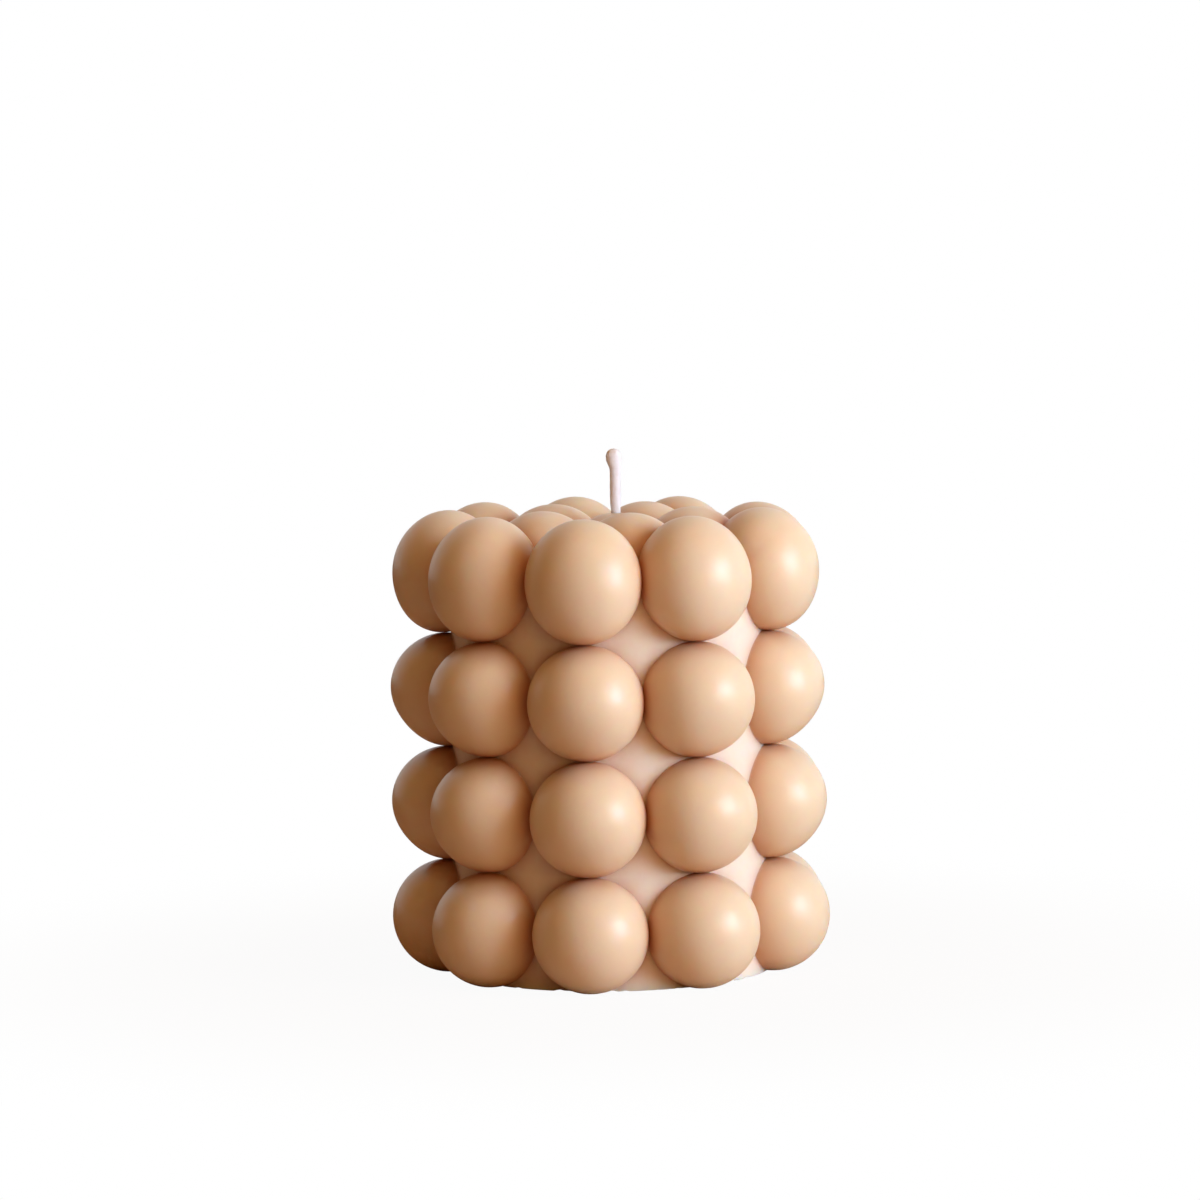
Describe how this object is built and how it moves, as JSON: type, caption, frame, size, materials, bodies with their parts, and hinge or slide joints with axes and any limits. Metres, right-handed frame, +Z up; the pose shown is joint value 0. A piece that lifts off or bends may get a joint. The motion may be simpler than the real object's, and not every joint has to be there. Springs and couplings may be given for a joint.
{
  "type": "bubble pillar candle",
  "caption": "Round pillar candle of tan wax, its side and top covered with cast bubbles in stacked rings, with a white cotton wick.",
  "frame": {"origin": "on the flat base, on the axis of the side bubbles", "axes": "+Z up along the candle's axis, -Y towards the front, +X to the right seen from the front"},
  "size_m": [0.0782, 0.0779, 0.0932],
  "materials": {
    "wax": "satin wax, slightly translucent",
    "wick": "braided cotton, waxed"
  },
  "bodies": {
    "root": {"wax_body": "wax", "wick": "wick"}
  },
  "joints": []
}
